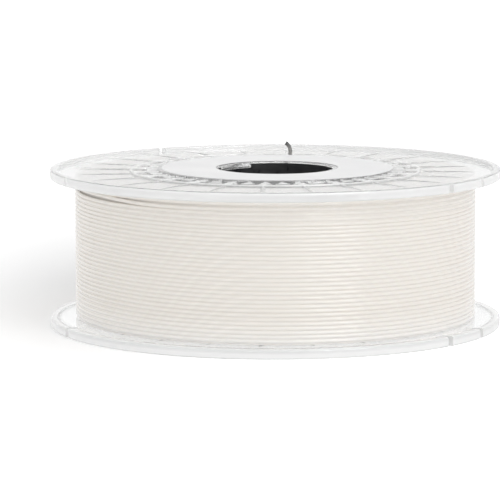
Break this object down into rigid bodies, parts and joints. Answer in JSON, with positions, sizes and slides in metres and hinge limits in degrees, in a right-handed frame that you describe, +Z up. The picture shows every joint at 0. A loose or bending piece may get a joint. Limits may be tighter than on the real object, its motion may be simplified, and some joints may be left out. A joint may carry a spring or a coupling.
{
  "type": "filament spool",
  "caption": "Spool with clear ribbed flanges and a black core, wound nearly full of off-white printer filament, with a round bore for a spindle and a bare paper ring on the hub.",
  "frame": {"origin": "centre of the lower flange's outer face, on the bore axis, where the spool rests", "axes": "+Z up along the bore; -Y is the side that faces the viewer; +X to the viewer's right"},
  "size_m": [0.2, 0.2, 0.0757],
  "materials": {
    "clear_flange": "clear",
    "core": "satin",
    "filament": "satin",
    "filament_end": "satin",
    "label": "matte"
  },
  "bodies": {
    "root": {"lower_flange": "clear_flange", "upper_flange": "clear_flange", "core": "core", "filament_inner_layers": "filament", "filament_outer_layer": "filament", "filament_start_end": "filament_end", "hub_label": "label"}
  },
  "joints": []
}
